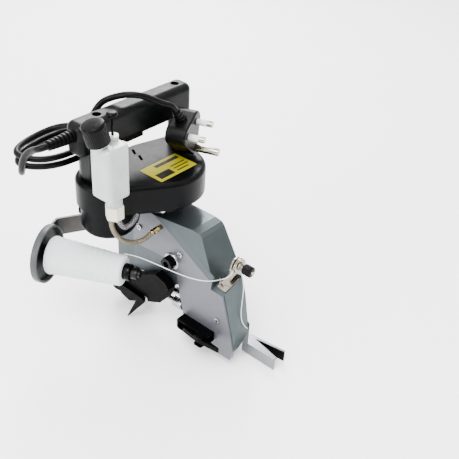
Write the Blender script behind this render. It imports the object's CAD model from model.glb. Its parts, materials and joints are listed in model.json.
import json
import math

import bpy
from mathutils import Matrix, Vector


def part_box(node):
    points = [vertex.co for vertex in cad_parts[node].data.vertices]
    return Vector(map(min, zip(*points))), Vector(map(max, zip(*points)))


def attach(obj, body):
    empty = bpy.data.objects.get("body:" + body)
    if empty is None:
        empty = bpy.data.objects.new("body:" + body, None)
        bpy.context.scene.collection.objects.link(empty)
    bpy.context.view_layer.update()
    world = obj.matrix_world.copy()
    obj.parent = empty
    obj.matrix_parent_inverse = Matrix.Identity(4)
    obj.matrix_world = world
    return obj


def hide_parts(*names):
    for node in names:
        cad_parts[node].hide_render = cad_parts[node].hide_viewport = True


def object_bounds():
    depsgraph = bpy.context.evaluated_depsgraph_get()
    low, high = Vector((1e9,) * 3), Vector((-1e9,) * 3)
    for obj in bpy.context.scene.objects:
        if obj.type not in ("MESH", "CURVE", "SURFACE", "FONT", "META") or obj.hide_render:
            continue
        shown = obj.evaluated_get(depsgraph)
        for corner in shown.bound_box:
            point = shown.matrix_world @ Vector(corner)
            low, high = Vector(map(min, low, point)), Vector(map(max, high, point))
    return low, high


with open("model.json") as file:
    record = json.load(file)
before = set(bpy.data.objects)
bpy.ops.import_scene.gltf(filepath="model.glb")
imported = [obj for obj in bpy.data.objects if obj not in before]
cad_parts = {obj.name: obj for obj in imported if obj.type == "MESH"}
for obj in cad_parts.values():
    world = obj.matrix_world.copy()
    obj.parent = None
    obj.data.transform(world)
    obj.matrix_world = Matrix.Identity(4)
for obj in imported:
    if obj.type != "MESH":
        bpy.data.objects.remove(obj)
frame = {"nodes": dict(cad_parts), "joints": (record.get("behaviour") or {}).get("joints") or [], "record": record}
cad_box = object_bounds()

MM = 0.001
NODES = frame["nodes"]
JOINTS = {joint["name"]: joint for joint in frame["joints"]}
# The CAD is drawn from the main shaft at the machine's lowest level; this is that point in the frame.
DRAWING_ZERO = Vector((0.0165, -0.026, -0.26125))
# Sizes of the CAD drawing, in millimetres, that the looks below follow.
CONE_LENGTH = 89.0
HORN_LEFT = 8.0
HORN_ROOT_Y = -130.0
HORN_FLARE = 5.5
HORN_SHEET = 1.2
HORN_TOP = 16.0


def place(x, y, z):
    """A point of the CAD drawing, given in millimetres, as a point of the frame."""
    return DRAWING_ZERO + Vector((x, y, z)) * MM


def joint_line(name):
    """Point and direction of a hinge of the frame."""
    joint = JOINTS[name]
    return Vector(joint["pos_m"]), Vector(joint["axis"]).normalized()


# ---------------------------------------------------------------- material tools
class Shader:
    """A procedural material: one principled surface fed by node textures measured in millimetres."""

    def __init__(self, name, colour, rough, metal=0.0):
        self.material = bpy.data.materials.new(name)
        self.material.use_nodes = True
        self.tree = self.material.node_tree
        self.surface = self.tree.nodes["Principled BSDF"]
        self.colour = self.rgb(colour)
        self.normal = None
        self.set("Metallic", metal)
        self.rough = rough
        coordinate = self.tree.nodes.new("ShaderNodeTexCoord")
        scale = self.tree.nodes.new("ShaderNodeMapping")
        scale.inputs["Scale"].default_value = (1 / MM, 1 / MM, 1 / MM)
        self.tree.links.new(coordinate.outputs["Object"], scale.inputs["Vector"])
        self.space = scale.outputs["Vector"]
        self.uv = coordinate.outputs["UV"]

    def rgb(self, colour):
        node = self.tree.nodes.new("ShaderNodeRGB")
        node.outputs[0].default_value = (*colour, 1)
        return node.outputs[0]

    def set(self, name, value):
        self.surface.inputs[name].default_value = value

    def noise(self, scale, detail, stretch=None):
        node = self.tree.nodes.new("ShaderNodeTexNoise")
        node.inputs["Scale"].default_value = scale
        node.inputs["Detail"].default_value = detail
        source = self.stretched(stretch) if stretch else self.space
        self.tree.links.new(source, node.inputs["Vector"])
        return node.outputs["Fac"]

    def stretched(self, stretch):
        node = self.tree.nodes.new("ShaderNodeMapping")
        node.inputs["Scale"].default_value = stretch
        self.tree.links.new(self.space, node.inputs["Vector"])
        return node.outputs["Vector"]

    def ramp(self, value, low, high, start=0.0, end=1.0):
        node = self.tree.nodes.new("ShaderNodeMapRange")
        node.inputs["From Min"].default_value = low
        node.inputs["From Max"].default_value = high
        node.inputs["To Min"].default_value = start
        node.inputs["To Max"].default_value = end
        self.tree.links.new(value, node.inputs["Value"])
        return node.outputs["Result"]

    def math(self, kind, *values):
        node = self.tree.nodes.new("ShaderNodeMath")
        node.operation = kind
        for slot, value in zip(node.inputs, values):
            if hasattr(value, "is_output"):
                self.tree.links.new(value, slot)
            else:
                slot.default_value = value
        return node.outputs[0]

    def split(self, vector):
        node = self.tree.nodes.new("ShaderNodeSeparateXYZ")
        self.tree.links.new(vector, node.inputs[0])
        return node.outputs

    def blend(self, factor, colour):
        """Mixes this colour over what the material shows, where factor is 1."""
        node = self.tree.nodes.new("ShaderNodeMix")
        node.data_type = "RGBA"
        inputs = [slot for slot in node.inputs if slot.type == "RGBA"]
        self.tree.links.new(factor, node.inputs["Factor"])
        self.tree.links.new(self.colour, inputs[0])
        inputs[1].default_value = (*colour, 1)
        self.colour = [slot for slot in node.outputs if slot.type == "RGBA"][0]

    def bump(self, height, strength, distance):
        node = self.tree.nodes.new("ShaderNodeBump")
        node.inputs["Strength"].default_value = strength
        node.inputs["Distance"].default_value = distance * MM
        self.tree.links.new(height, node.inputs["Height"])
        if self.normal:
            self.tree.links.new(self.normal, node.inputs["Normal"])
        self.normal = node.outputs["Normal"]

    def about(self, base, axis):
        """Distance along an axis from base, and distance from that axis, both in millimetres."""
        offset = self.tree.nodes.new("ShaderNodeVectorMath")
        offset.operation = "SUBTRACT"
        self.tree.links.new(self.space, offset.inputs[0])
        offset.inputs[1].default_value = tuple(base / MM)
        along = self.tree.nodes.new("ShaderNodeVectorMath")
        along.operation = "DOT_PRODUCT"
        self.tree.links.new(offset.outputs[0], along.inputs[0])
        along.inputs[1].default_value = tuple(axis)
        across = self.tree.nodes.new("ShaderNodeVectorMath")
        across.operation = "CROSS_PRODUCT"
        self.tree.links.new(offset.outputs[0], across.inputs[0])
        across.inputs[1].default_value = tuple(axis)
        size = self.tree.nodes.new("ShaderNodeVectorMath")
        size.operation = "LENGTH"
        self.tree.links.new(across.outputs[0], size.inputs[0])
        return along.outputs["Value"], size.outputs["Value"]

    def pointiness(self):
        """How sharply the surface turns: 0.5 where flat, more on outer edges, less in hollows."""
        return self.tree.nodes.new("ShaderNodeNewGeometry").outputs["Pointiness"]

    def edges(self, colour, amount):
        """Wear: a lighter colour where the surface turns sharply outwards."""
        self.blend(self.ramp(self.pointiness(), 0.53, 0.62, 0.0, amount), colour)

    def done(self, rough_noise=None, spread=0.08):
        """Joins colour, roughness and bump to the surface."""
        self.tree.links.new(self.colour, self.surface.inputs["Base Color"])
        if rough_noise is None:
            self.surface.inputs["Roughness"].default_value = self.rough
        else:
            varied = self.ramp(rough_noise, 0.3, 0.7, self.rough - spread, self.rough + spread)
            self.tree.links.new(varied, self.surface.inputs["Roughness"])
        if self.normal:
            self.tree.links.new(self.normal, self.surface.inputs["Normal"])
        return self.material


# ---------------------------------------------------------------- materials
def metallic_paint(name, colour, dark, light, metal=0.7, turned=None):
    """Satin metallic paint: fine flake, soft waviness and rubbed edges.

    turned, where given, is the colour of the side cover behind its flat face.
    """
    paint = Shader(name, colour, 0.36, metal)
    paint.blend(paint.ramp(paint.noise(0.03, 2), 0.4, 0.75, 0.0, 0.35), dark)
    paint.blend(paint.ramp(paint.noise(9.0, 1), 0.62, 0.8, 0.0, 0.12), light)
    paint.edges(light, 0.4)
    paint.bump(paint.noise(0.05, 2), 0.12, 0.5)
    if turned is not None:
        low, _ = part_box("side_cover")
        face_depth = 0.3
        x = paint.split(paint.space)[0]
        paint.blend(paint.math("GREATER_THAN", x, low.x / MM + face_depth), turned)
    return paint.done(paint.noise(0.12, 3), 0.05)


def moulded_plastic(name, colour, light, rough, grain=2.2, depth=0.05, shine=0.3):
    """Satin moulded plastic with a fine spark-eroded grain, faint rubbing and soft flow marks."""
    plastic = Shader(name, colour, rough)
    plastic.blend(plastic.ramp(plastic.noise(0.05, 4), 0.5, 0.8, 0.0, 0.3), light)
    plastic.edges(light, 0.5)
    plastic.bump(plastic.noise(grain, 2), 0.1, depth)
    plastic.bump(plastic.noise(0.06, 2), 0.1, 0.4)
    plastic.set("Specular IOR Level", shine)
    return plastic.done(plastic.noise(0.2, 4), 0.05)


def machined_metal(name, colour, rough):
    """Turned or ground metal with fine directional lines and a little staining."""
    metal = Shader(name, colour, rough, 1.0)
    stain = tuple(0.6 * part for part in colour)
    brush = (0.4, 6.0, 6.0)
    metal.blend(metal.ramp(metal.noise(0.12, 4), 0.55, 0.85, 0.0, 0.3), stain)
    metal.bump(metal.noise(1.5, 2, brush), 0.18, 0.05)
    return metal.done(metal.noise(0.4, 3), 0.08)


def rubber():
    """Flexible PVC of a mains cord: even, slightly greasy, with dust in the grain."""
    cord = Shader("cord_rubber", (0.0008, 0.0008, 0.001), 0.34)
    cord.blend(cord.ramp(cord.noise(0.3, 4), 0.6, 0.85, 0.0, 0.4), (0.004, 0.004, 0.005))
    cord.bump(cord.noise(2.0, 2), 0.15, 0.06)
    cord.set("Specular IOR Level", 0.09)
    return cord.done(cord.noise(0.25, 3), 0.06)


def bottle_plastic():
    """Milky polyethylene: light passes in and scatters."""
    milk = Shader("bottle_polyethylene", (0.46, 0.50, 0.48), 0.33)
    milk.blend(milk.ramp(milk.noise(0.06, 2), 0.4, 0.75, 0.0, 0.5), (0.34, 0.38, 0.365))
    milk.set("Subsurface Weight", 0.55)
    milk.set("Subsurface Radius", (0.02, 0.02, 0.02))
    milk.set("Subsurface Scale", 0.6)
    milk.set("Transmission Weight", 0.18)
    milk.set("Coat Weight", 0.3)
    milk.bump(milk.noise(0.15, 2), 0.2, 0.3)
    return milk.done(milk.noise(0.3, 3), 0.06)


def label_sheet(low, high):
    """Yellow adhesive sheet with plain dark bars; nothing is written on it."""
    sheet = Shader("label_sheet", (0.24, 0.21, 0.0002), 0.5)
    x, y, _ = sheet.split(sheet.space)
    across = sheet.ramp(x, low.x / MM, high.x / MM)
    along = sheet.ramp(y, low.y / MM, high.y / MM)

    def box(x0, x1, y0, y1):
        """1 inside this box of the sheet, given as shares of its width and depth."""
        inside = sheet.math("GREATER_THAN", across, x0)
        others = (("LESS_THAN", across, x1), ("GREATER_THAN", along, y0), ("LESS_THAN", along, y1))
        for kind, value, limit in others:
            inside = sheet.math("MULTIPLY", inside, sheet.math(kind, value, limit))
        return inside

    dark = (0.004, 0.004, 0.003)
    bars = (
        (0.30, 0.94, 0.72, 0.88),
        (0.08, 0.46, 0.12, 0.44),
        (0.54, 0.94, 0.46, 0.52),
        (0.54, 0.94, 0.30, 0.36),
        (0.54, 0.86, 0.14, 0.20),
    )
    sheet.set("Specular IOR Level", 0.15)
    for bar in bars:
        sheet.blend(box(*bar), dark)
    sheet.bump(sheet.noise(0.2, 2), 0.2, 0.1)
    return sheet.done(sheet.noise(0.3, 3), 0.07)


def wound_thread():
    """Spun thread wound on a cone: soft fibre with shade between the turns."""
    yarn = Shader("wound_yarn", (0.62, 0.645, 0.66), 0.85)
    yarn.blend(yarn.ramp(yarn.noise(0.5, 4), 0.5, 0.8, 0.0, 0.5), (0.60, 0.62, 0.62))
    yarn.blend(yarn.ramp(yarn.pointiness(), 0.5, 0.44, 0.0, 0.8), (0.22, 0.235, 0.24))
    yarn.set("Sheen Weight", 0.15)
    yarn.bump(yarn.noise(6.0, 3), 0.5, 0.12)
    return yarn.done()


def braid(name, colour, dark):
    """Metal braid over a hose: two families of strands that cross, laid out by the hose's UV map."""
    metal = Shader(name, colour, 0.36, 0.8)
    turn, length, _ = metal.split(metal.uv)
    strands, pitch = 5.0, 3.4
    rise = metal.math("DIVIDE", length, pitch)
    heights = []
    for sign in (1.0, -1.0):
        phase = metal.math("ADD", metal.math("MULTIPLY", turn, sign * strands), rise)
        heights.append(metal.math("SINE", metal.math("MULTIPLY", phase, math.tau)))
    height = metal.math("MAXIMUM", *heights)
    metal.blend(metal.ramp(height, 0.55, -0.4, 0.0, 0.9), dark)
    metal.bump(height, 0.9, 0.5)
    return metal.done(metal.noise(1.0, 2), 0.08)


def dish_paint():
    """Dark green paint in the dish, a bare grey rim, and black on the spindle's end."""
    base, axis = joint_line("thread_cone_spin")
    dish = Shader("dish_paint", (0.003, 0.0065, 0.0055), 0.4, 0.2)
    dish.set("Specular IOR Level", 0.2)
    dish.blend(dish.ramp(dish.noise(0.05, 3), 0.45, 0.8, 0.0, 0.5), (0.007, 0.012, 0.01))
    along, size = dish.about(base, axis)
    low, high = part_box("cone_stand_dish")
    rim_width = 2.7
    rim = (high.z - low.z) / 2 / MM - rim_width
    dish.blend(dish.math("GREATER_THAN", size, rim), (0.045, 0.048, 0.05))
    dish.blend(dish.math("GREATER_THAN", along, CONE_LENGTH), (0.001, 0.001, 0.0012))
    dish.bump(dish.noise(3.0, 2), 0.12, 0.05)
    return dish.done(dish.noise(0.2, 3), 0.06)


def horn_metal():
    """Bright bent sheet outside, dull and dark inside the channel."""
    horn = Shader("horn_steel", (0.20, 0.21, 0.22), 0.24, 1.0)
    horn.blend(horn.ramp(horn.noise(0.12, 4), 0.55, 0.85, 0.0, 0.3), (0.12, 0.12, 0.13))
    low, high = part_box("bag_guide")
    x, y, z = horn.split(horn.space)
    tip_half = (high.x - place(HORN_LEFT, 0, 0).x) / 2 / MM
    share = horn.ramp(y, place(0, HORN_ROOT_Y, 0).y / MM, low.y / MM)
    half = horn.ramp(share, 0.0, 1.0, tip_half - HORN_FLARE / 2, tip_half)
    left = place(HORN_LEFT, 0, 0).x / MM
    skin = HORN_SHEET * 0.7
    off_centre = horn.math("ABSOLUTE", horn.math("SUBTRACT", horn.math("SUBTRACT", x, left), half))
    inside = horn.math("LESS_THAN", off_centre, horn.math("SUBTRACT", half, skin))
    below = horn.math("LESS_THAN", z, place(0, 0, HORN_TOP - skin).z / MM)
    horn.blend(horn.math("MULTIPLY", inside, below), (0.004, 0.004, 0.004))
    horn.bump(horn.noise(1.5, 2, (6.0, 0.4, 6.0)), 0.15, 0.05)
    return horn.done(horn.noise(0.4, 3), 0.06)


def floor_paint():
    """Pale floor with a barely visible unevenness."""
    paper = Shader("floor_paper", (0.98, 0.98, 0.98), 0.9)
    paper.blend(paper.ramp(paper.noise(0.004, 2), 0.4, 0.7, 0.0, 0.3), (0.96, 0.96, 0.96))
    paper.set("Specular IOR Level", 0.1)
    return paper.done()


PAINT = metallic_paint(
    "casting_paint", (0.052, 0.064, 0.067), (0.040, 0.050, 0.052), (0.10, 0.12, 0.125), metal=0.85
)
COVER = metallic_paint(
    "cover_paint", (0.064, 0.067, 0.080), (0.054, 0.056, 0.066), (0.15, 0.15, 0.17),
    metal=0.6, turned=(0.046, 0.057, 0.064)
)
GUARD = moulded_plastic("guard_plastic", (0.0006, 0.0007, 0.0009), (0.002, 0.0022, 0.003), 0.34, shine=0.06)
HANDLE = moulded_plastic(
    "handle_plastic", (0.0006, 0.0008, 0.0009), (0.002, 0.0024, 0.003), 0.36,
    grain=1.6, depth=0.03, shine=0.1
)
TRIGGER = moulded_plastic("trigger_plastic", (0.001, 0.001, 0.001), (0.003, 0.003, 0.003), 0.5, shine=0.05)
GLOSS = moulded_plastic(
    "knob_plastic", (0.0006, 0.0006, 0.0008), (0.002, 0.002, 0.0025), 0.24,
    grain=3.0, depth=0.02, shine=0.07
)
IVORY = moulded_plastic("ivory_plastic", (0.60, 0.57, 0.44), (0.52, 0.47, 0.35), 0.45)
SLEEVE = moulded_plastic("sleeve_plastic", (0.60, 0.62, 0.63), (0.50, 0.51, 0.52), 0.4)
RUBBER = rubber()
BLACK_STEEL = moulded_plastic(
    "blackened_steel", (0.0004, 0.0004, 0.0005), (0.001, 0.001, 0.0012), 0.42,
    grain=1.1, depth=0.04, shine=0.03
)
STEEL = machined_metal("bright_steel", (0.34, 0.34, 0.35), 0.24)
HORN = horn_metal()
NICKEL = machined_metal("nickel_plate", (0.24, 0.22, 0.18), 0.16)
ALLOY = machined_metal("machined_alloy", (0.45, 0.45, 0.46), 0.32)
BRASS = machined_metal("brass", (0.30, 0.22, 0.09), 0.24)
PIN = machined_metal("pin_metal", (0.32, 0.30, 0.25), 0.18)
IRON = machined_metal("stator_iron", (0.12, 0.08, 0.06), 0.45)
DISH = dish_paint()
ARM = metallic_paint("arm_paint", (0.055, 0.052, 0.05), (0.035, 0.033, 0.03), (0.16, 0.15, 0.14))
MILK = bottle_plastic()
LABEL = label_sheet(*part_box("label_plate"))
YARN = wound_thread()
BRAID = braid("hose_braid_warm", (0.25, 0.215, 0.15), (0.035, 0.03, 0.02))
BRAID_GREY = braid("hose_braid_grey", (0.22, 0.22, 0.23), (0.02, 0.02, 0.022))

NODE_MATERIALS = {
    "head_casting": PAINT, "looper_housing": PAINT, "side_cover": COVER, "looper_cover": COVER,
    "belt_guard": GUARD, "guard_base": GUARD, "motor_cover": GUARD,
    "handle_bottom": HANDLE, "handle_top": HANDLE, "trigger_switch": TRIGGER, "switch_block": TRIGGER,
    "cord_boot": RUBBER, "power_cord": RUBBER, "plug_body": RUBBER, "drive_belt": RUBBER,
    "brush_caps": GLOSS, "inspection_plug": GLOSS, "cone_core": GLOSS,
    "lifter_block": BLACK_STEEL, "lift_lever": BLACK_STEEL, "cutter_block": BLACK_STEEL,
    "cutter_lever": BLACK_STEEL, "label_plate": LABEL, "oil_bottle": MILK, "bottle_nut": IVORY,
    "plug_pins": PIN, "motor_stator": IRON, "motor_armature": IRON, "large_pulley": ALLOY,
    "cone_stand_dish": DISH, "stand_arm": ARM, "bag_guide": HORN, "tension_bracket": NICKEL,
    "tension_discs": NICKEL, "thread": YARN,
}
for node_name, node in NODES.items():
    node.data.materials.clear()
    node.data.materials.append(NODE_MATERIALS.get(node_name, STEEL))

# ---------------------------------------------------------------- softened edges of the CAD pieces
EDGE_WIDTHS = {
    "head_casting": 1.2, "side_cover": 0.7, "looper_housing": 1.2, "looper_cover": 0.7, "cutter_block": 1.0,
    "lifter_block": 0.8, "bottle_nut": 0.7, "inspection_plug": 0.7, "handle_bottom": 0.8, "guard_base": 0.6,
    "plug_body": 1.0, "stand_arm": 0.5, "cone_stand_dish": 0.6, "tension_bracket": 0.3, "bag_guide": 0.25,
    "plug_pins": 0.8, "casting_screws": 0.4, "shell_screws": 0.4, "side_rods": 0.4, "cutter_lever": 0.5,
    "lift_lever": 0.5, "cone_core": 0.6, "tension_discs": 0.2, "presser_foot": 0.4, "trigger_switch": 0.6,
    "cord_boot": 0.6, "brush_caps": 0.5, "plug_seat_ring": 0.2,
}


def soften(node, width):
    """Rounds the sharp edges of a CAD piece with modifiers; its own mesh stays as it is."""
    weld = node.modifiers.new("weld", "WELD")
    weld.merge_threshold = 0.01 * MM
    bevel = node.modifiers.new("bevel", "BEVEL")
    bevel.width = width * MM
    bevel.segments = 3
    bevel.limit_method = "ANGLE"
    bevel.angle_limit = math.radians(38)
    bevel.use_clamp_overlap = True
    bevel.harden_normals = True


for node_name, edge_width in EDGE_WIDTHS.items():
    soften(NODES[node_name], edge_width)


# ---------------------------------------------------------------- mesh tools
# Radius at which a turned profile closes on its axis, in millimetres.
AXIS = 0.01


def new_piece(name, vertices, faces, material, body, uvs=None):
    """Makes a smooth-shaded mesh piece that rides a body of the frame."""
    mesh = bpy.data.meshes.new(name)
    mesh.from_pydata([tuple(vertex) for vertex in vertices], [], faces)
    mesh.polygons.foreach_set("use_smooth", [True] * len(mesh.polygons))
    if uvs:
        layer = mesh.uv_layers.new(name="run")
        for loop in mesh.loops:
            layer.data[loop.index].uv = uvs[loop.vertex_index]
    mesh.materials.append(material)
    mesh.validate()
    piece = bpy.data.objects.new(name, mesh)
    bpy.context.scene.collection.objects.link(piece)
    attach(piece, body)
    return piece


def cross_axes(axis):
    """Two directions at right angles to axis and to each other."""
    side = axis.cross(Vector((0, 0, 1)) if abs(axis.z) < 0.9 else Vector((1, 0, 0))).normalized()
    return side, axis.cross(side)


def lathe(name, base, axis, profile, material, body, segments, ripple=None):
    """Turns a profile of (radius, distance along axis) in millimetres.

    ripple(angle, height, radius), where given, is added to the radius.
    """
    side, up = cross_axes(axis)
    vertices, faces = [], []
    for radius, height in profile:
        for step in range(segments):
            angle = math.tau * step / segments
            size = radius + (ripple(angle, height, radius) if ripple else 0)
            outward = side * math.cos(angle) + up * math.sin(angle)
            vertices.append(base + (axis * height + outward * size) * MM)
    for row in range(len(profile) - 1):
        for step in range(segments):
            after = (step + 1) % segments
            faces.append((row * segments + step, row * segments + after,
                          (row + 1) * segments + after, (row + 1) * segments + step))
    return new_piece(name, vertices, faces, material, body)


def smooth_path(points):
    """Points along a Catmull-Rom curve through the given points."""
    steps = 14
    padded = [points[0] * 2 - points[1]] + points + [points[-1] * 2 - points[-2]]
    path = []
    for a, b, c, d in zip(padded, padded[1:], padded[2:], padded[3:]):
        for step in range(steps):
            t = step / steps
            bend = (2 * a - 5 * b + 4 * c - d) * t * t
            twist = (3 * b - a - 3 * c + d) * t ** 3
            path.append((2 * b + (c - a) * t + bend + twist) / 2)
    path.append(points[-1])
    return path


def hose(name, points, radius, material, body):
    """A round hose along a smooth path, with a UV map of (turn, millimetres along it)."""
    segments = 20
    path = smooth_path(points)
    vertices, faces, uvs = [], [], []
    run = 0.0
    side = None
    for index, point in enumerate(path):
        ahead = path[min(index + 1, len(path) - 1)]
        behind = path[max(index - 1, 0)]
        direction = (ahead - behind).normalized()
        if side is None:
            side, _ = cross_axes(direction)
        side = (side - direction * side.dot(direction)).normalized()
        up = direction.cross(side)
        if index:
            run += (point - path[index - 1]).length / MM
        for step in range(segments + 1):
            angle = math.tau * step / segments
            vertices.append(point + (side * math.cos(angle) + up * math.sin(angle)) * radius * MM)
            uvs.append((step / segments, run))
    row = segments + 1
    for index in range(len(path) - 1):
        for step in range(segments):
            first = index * row + step
            faces.append((first, first + 1, first + row + 1, first + row))
    return new_piece(name, vertices, faces, material, body, uvs)


# ---------------------------------------------------------------- wound thread cone
def build_cone():
    """Cross-wound thread package with rounded ends and ridges where the thread crosses itself."""
    base, axis = joint_line("thread_cone_spin")
    length, big, small, bore, corner = CONE_LENGTH, 22.4, 17.4, 8.2, 3.0
    turn_pitch, cross_pitch, gap, rows = 1.55, 7.0, 0.3, 300
    profile = [(bore, gap), (big - corner, gap)]
    for step in range(rows + 1):
        height = gap + (length - 2 * gap) * step / rows
        radius = big + (small - big) * height / length
        from_end = min(height, length - height)
        if from_end < corner:
            radius -= corner - math.sqrt(corner * corner - (corner - from_end) ** 2)
        profile.append((radius, height))
    profile += [(bore, length - gap)]

    def ridges(angle, height, radius):
        if radius < small - corner - 0.5:
            return 0.0
        one = math.cos(math.tau * (height / turn_pitch) + angle)
        other = math.cos(math.tau * (height / cross_pitch) - 4 * angle)
        back = math.cos(math.tau * (height / cross_pitch) + 4 * angle)
        slow = math.sin(height * 0.21 + 2.0 * angle) * 0.12
        return 0.2 * one + 0.3 * (max(other, 0) ** 3 + max(back, 0) ** 3) + slow - 0.55

    cone = lathe("thread_package", base, axis, profile, YARN, "cone", 120, ridges)
    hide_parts("thread_cone")


# ---------------------------------------------------------------- knobs and caps
def build_tension_knob():
    """Knurled knob of the thread tension."""
    base, axis = joint_line("tension_knob_turn")
    front, back, radius, bore, ribs, rib_depth = 5.5, -5.5, 6.3, 2.05, 26, 0.35
    profile = [(bore, back), (radius - 1.0, back), (radius - 0.3, back + 0.5)]
    for step in range(19):
        profile.append((radius, back + 1.0 + step * 0.5))
    profile += [(radius - 0.4, front - 0.5), (radius - 1.2, front), (bore, front)]

    def knurl(angle, height, size):
        if size < radius - 0.05:
            return 0.0
        return -rib_depth * (0.5 - 0.5 * math.cos(ribs * angle))

    knob = lathe("knurled_knob", base, axis, profile, GLOSS, "tension_knob_body", 208, knurl)
    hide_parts("tension_knob")


def build_filler_cap():
    """Ribbed screw cap of the oil bottle."""
    base, axis = joint_line("filler_cap_turn")
    low, high, radius, bore, ribs, rib_depth = 5.0, 27.0, 12.5, 8.1, 36, 0.3
    profile = [(bore, low + 9), (bore, low), (radius - 0.4, low), (radius, low + 0.4)]
    for step in range(12):
        profile.append((radius, low + 0.8 + step * 1.6))
    profile += [(radius - 0.3, high - 1.4), (radius - 1.0, high - 0.4), (radius - 2.2, high)]
    profile += [(AXIS, high - 0.5)]

    def grip(angle, height, size):
        if size < radius - 0.05 or height > high - 3.5:
            return 0.0
        return -rib_depth * (0.5 - 0.5 * math.cos(ribs * angle)) ** 2

    cap = lathe("ribbed_cap", base, axis, profile, GLOSS, "cap", 288, grip)
    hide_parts("filler_cap")


def build_pump():
    """Pump stem and its domed button."""
    low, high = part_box("pump_plunger")
    centre = Vector(((low.x + high.x) / 2, (low.y + high.y) / 2, high.z))
    up = Vector((0, 0, 1))
    knob = [
        (1.6, -5.0), (3.0, -5.0), (5.4, -4.7), (6.1, -3.6), (6.1, -2.0), (5.2, -0.8), (3.6, -0.2),
        (AXIS, 0.0),
    ]
    button = lathe("pump_button", centre, up, knob, GLOSS, "pump", 64)
    drop = (low.z - high.z) / MM
    stem = [(AXIS, drop), (1.45, drop + 0.3), (1.45, -4.8), (AXIS, -4.6)]
    lathe("pump_stem", centre, up, stem, GLOSS, "pump", 32)
    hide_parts("pump_plunger")


# ---------------------------------------------------------------- hoses and fitting
def build_hoses():
    """Two braided oil hoses from the bottle's nut, one to the brass fitting and one up under the guard."""
    long_run = [
        (-89.2, -17.6, 184), (-89.2, -17.3, 180), (-89, -16.5, 175), (-84, -15.5, 161), (-74, -17, 146.5),
        (-62, -20.5, 139.5), (-49, -23.5, 138.5), (-38, -24, 141.6),
    ]
    short_run = [
        (-83.8, -21.4, 184), (-83.5, -21.7, 180), (-82.5, -22.5, 176), (-76, -22, 167.5), (-67, -21.5, 166.5),
        (-58, -20, 170), (-55, -18.8, 174),
    ]
    radius = 2.85
    first = hose("hose_long", [place(*p) for p in long_run], radius, BRAID, "frame")
    hose("hose_short", [place(*p) for p in short_run], radius, BRAID_GREY, "frame")
    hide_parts("oil_tubes")
    start = place(-38.3, -23.9, 141.5)
    along = Vector((13, -2.3, 3.2)).normalized()
    ring, nut = 3.6, 3.7
    collar = [
        (AXIS, 0), (3.3, 0), (ring, 0.4), (ring, 3.2), (3.1, 3.5), (3.1, 4.6), (nut, 4.9), (nut, 9.6),
        (3.2, 10), (AXIS, 10),
    ]

    def six_flats(angle, height, size):
        if size < nut - 0.05:
            return 0.0
        return -0.3 * abs(math.sin(3 * angle))

    lathe("fitting_collar", start, along, collar, BRASS, "frame", 72, six_flats)
    elbow_root = place(-31, -26.1, 144.6)
    elbow = [(AXIS, 0), (2.7, 0), (2.95, 0.4), (2.95, 5.6), (AXIS, 6)]
    lathe("fitting_elbow", elbow_root, Vector((1, 0, 0)), elbow, BRASS, "frame", 48)


# ---------------------------------------------------------------- plug pins
def build_sleeves():
    """Pale insulating sleeves on the roots of the two thinner pins."""
    mounts = {mount["name"]: mount for mount in frame["record"]["mounts"]}
    sleeve_share, sleeve_wall = 0.66, 0.25
    for side in ("left", "right"):
        mount = mounts["plug_pin_" + side]
        axis = Vector(mount["axis"]).normalized()
        half = mount["dims"]["length_mm"] / 2
        radius = mount["dims"]["r_mm"]
        root = Vector(mount["pos_m"]) - axis * half * MM
        length = 2 * half * sleeve_share
        outside = radius + sleeve_wall
        shape = [(radius, 0.0), (outside, 0.0), (outside, length - 0.3), (radius, length)]
        lathe("pin_sleeve_" + side, root, axis, shape, SLEEVE, "frame", 48)


# ---------------------------------------------------------------- screw recesses
def build_recesses():
    """Cross recesses of the side cover's screws: dark crosses let into their heads."""
    low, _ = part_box("side_cover")
    arm, thick, depth, lift, head = 2.0, 0.45, 0.25, 0.05, 1.6
    cover_screws = [(8, 128), (-57, 122), (-116, 60), (-72, 18)]
    corners = ((-1, -1), (1, -1), (1, 1), (-1, 1))
    for number, (y, z) in enumerate(cover_screws):
        centre = place(0, y, z)
        centre.x = low.x - head * MM
        vertices, faces = [], []
        for half_y, half_z in ((arm, thick), (thick, arm)):
            first = len(vertices)
            for x in (-lift, depth):
                for dy, dz in corners:
                    vertices.append(centre + Vector((x, dy * half_y, dz * half_z)) * MM)
            faces.append((first, first + 1, first + 2, first + 3))
            for step in range(4):
                after = (step + 1) % 4
                faces.append((first + step, first + after, first + 4 + after, first + 4 + step))
        new_piece("screw_cross_%d" % number, vertices, faces, BLACK_STEEL, "frame")


build_cone()
build_tension_knob()
build_filler_cap()
build_pump()
build_hoses()
build_sleeves()
build_recesses()


# ---------------------------------------------------------------- floor, light and camera
def build_floor():
    """Large pale floor just under the machine, turning up softly behind it."""
    width, front, back, bend, wall, steps = 6.0, -3.0, 2.2, 0.8, 3.0, 8
    bottom = cad_box[0][2] - 0.001
    vertices, faces = [], []
    outline = [(front, 0.0), (back - bend, 0.0)]
    for step in range(1, steps + 1):
        angle = math.pi / 2 * step / steps
        outline.append((back - bend + bend * math.sin(angle), bend - bend * math.cos(angle)))
    outline.append((back, wall))
    facing = Vector((1, 1, 0)).normalized()
    aside = Vector((1, -1, 0)).normalized()
    for along, height in outline:
        for side in (-width / 2, width / 2):
            point = facing * along + aside * side
            vertices.append((point.x, point.y, bottom + height))
    for step in range(len(outline) - 1):
        faces.append((2 * step, 2 * step + 1, 2 * step + 3, 2 * step + 2))
    mesh = bpy.data.meshes.new("floor")
    mesh.from_pydata(vertices, [], faces)
    mesh.polygons.foreach_set("use_smooth", [True] * len(mesh.polygons))
    mesh.materials.append(floor_paint())
    floor = bpy.data.objects.new("floor", mesh)
    bpy.context.scene.collection.objects.link(floor)


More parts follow.
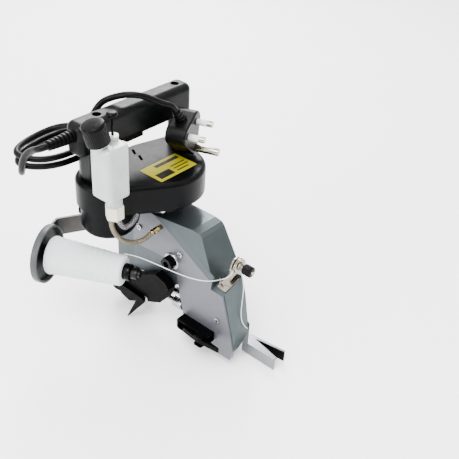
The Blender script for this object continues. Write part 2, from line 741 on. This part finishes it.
def add_light(name, position, size, power):
    """Soft square lamp at position that faces the machine."""
    target = Vector((0, 0, -0.1))
    lamp = bpy.data.lights.new(name, "AREA")
    lamp.size = size
    lamp.energy = power
    holder = bpy.data.objects.new(name, lamp)
    holder.location = position
    holder.rotation_euler = (target - Vector(position)).to_track_quat("-Z", "Y").to_euler()
    bpy.context.scene.collection.objects.link(holder)


def build_light():
    """White surroundings that darken towards the machine's nose and below, and four soft lamps."""
    world = bpy.data.worlds.new("studio")
    bpy.context.scene.world = world
    world.use_nodes = True
    tree = world.node_tree
    background = tree.nodes["Background"]
    background.inputs["Color"].default_value = (1, 1, 1, 1)
    direction = tree.nodes.new("ShaderNodeTexCoord")
    parts = tree.nodes.new("ShaderNodeSeparateXYZ")
    tree.links.new(direction.outputs["Generated"], parts.inputs[0])
    strengths = []
    slopes = (("Y", -0.9, 0.1, 0.9, 2.4), ("Z", -0.1, 0.8, 0.8, 1.5))
    for axis, low, high, dim, bright in slopes:
        step = tree.nodes.new("ShaderNodeMapRange")
        step.inputs["From Min"].default_value = low
        step.inputs["From Max"].default_value = high
        step.inputs["To Min"].default_value = dim
        step.inputs["To Max"].default_value = bright
        tree.links.new(parts.outputs[axis], step.inputs["Value"])
        strengths.append(step.outputs["Result"])
    strength = tree.nodes.new("ShaderNodeMath")
    strength.operation = "MULTIPLY"
    tree.links.new(strengths[0], strength.inputs[0])
    tree.links.new(strengths[1], strength.inputs[1])
    tree.links.new(strength.outputs[0], background.inputs["Strength"])
    add_light("key", (-0.9, -0.5, 1.6), 0.9, 60)
    add_light("left", (-1.5, 0.2, 0.4), 0.8, 22)
    add_light("right", (0.6, -1.5, 0.9), 0.5, 8)
    add_light("back", (1.0, 1.0, 1.0), 0.7, 45)


def build_camera():
    """Camera at the photo's angle: 35 degrees down, facing (+X, +Y), turned so the machine sits left."""
    direction = math.radians(45)
    tilt = math.radians(35)
    sensor = 36.0
    lens = 55.764706
    aside = 5.843137
    eye = Vector((-0.50043, -0.49165, 0.60713))
    level = Vector((math.sin(direction), math.cos(direction), 0))
    view = level * math.cos(tilt) - Vector((0, 0, math.sin(tilt)))
    right = Vector((math.cos(direction), -math.sin(direction), 0))
    up = right.cross(view)
    turn = math.atan(aside / lens)
    ahead = view * math.cos(turn) + right * math.sin(turn)
    across = right * math.cos(turn) - view * math.sin(turn)
    camera_data = bpy.data.cameras.new("camera")
    camera_data.sensor_width = sensor
    camera_data.lens = lens / math.cos(turn)
    camera_data.clip_start = 0.01
    camera = bpy.data.objects.new("camera", camera_data)
    matrix = camera.matrix_world.copy()
    for column, axis in enumerate((across, up, -ahead)):
        for row in range(3):
            matrix[row][column] = axis[row]
    matrix.translation = DRAWING_ZERO + eye
    camera.matrix_world = matrix
    bpy.context.scene.collection.objects.link(camera)
    bpy.context.scene.camera = camera


build_floor()
build_light()
build_camera()
